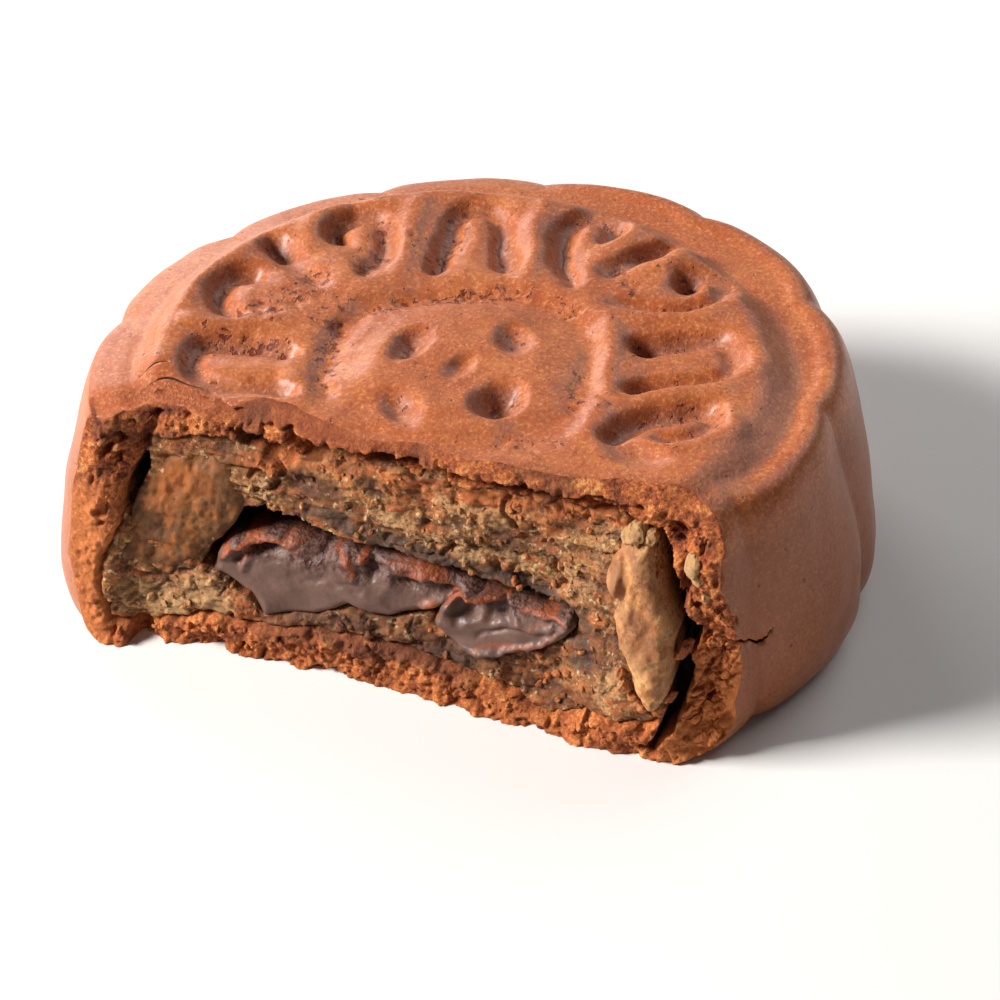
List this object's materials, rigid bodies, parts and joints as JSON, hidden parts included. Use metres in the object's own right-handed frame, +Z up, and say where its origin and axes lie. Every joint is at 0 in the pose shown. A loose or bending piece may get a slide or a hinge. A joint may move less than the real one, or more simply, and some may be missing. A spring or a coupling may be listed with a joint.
{
  "type": "mooncake",
  "caption": "Round baked mooncake with a moulded flower pattern on its top, broken open along one side to show a nut paste, a chocolate core and nuts.",
  "frame": {"origin": "where the axis of the round cake meets its flat base", "axes": "+Z up out of the moulded top; +X along the broken side, which faces -Y"},
  "size_m": [0.0687, 0.0546, 0.023],
  "materials": {
    "crust": "baked crust, matt with a soft sheen",
    "filling": "crumbly nut paste",
    "chocolate": "smooth soft chocolate",
    "nut": "roasted nut"
  },
  "bodies": {
    "root": {"crust": "crust", "filling": "filling", "chocolate": "chocolate", "nut_left": "nut", "nut_right": "nut"}
  },
  "joints": []
}
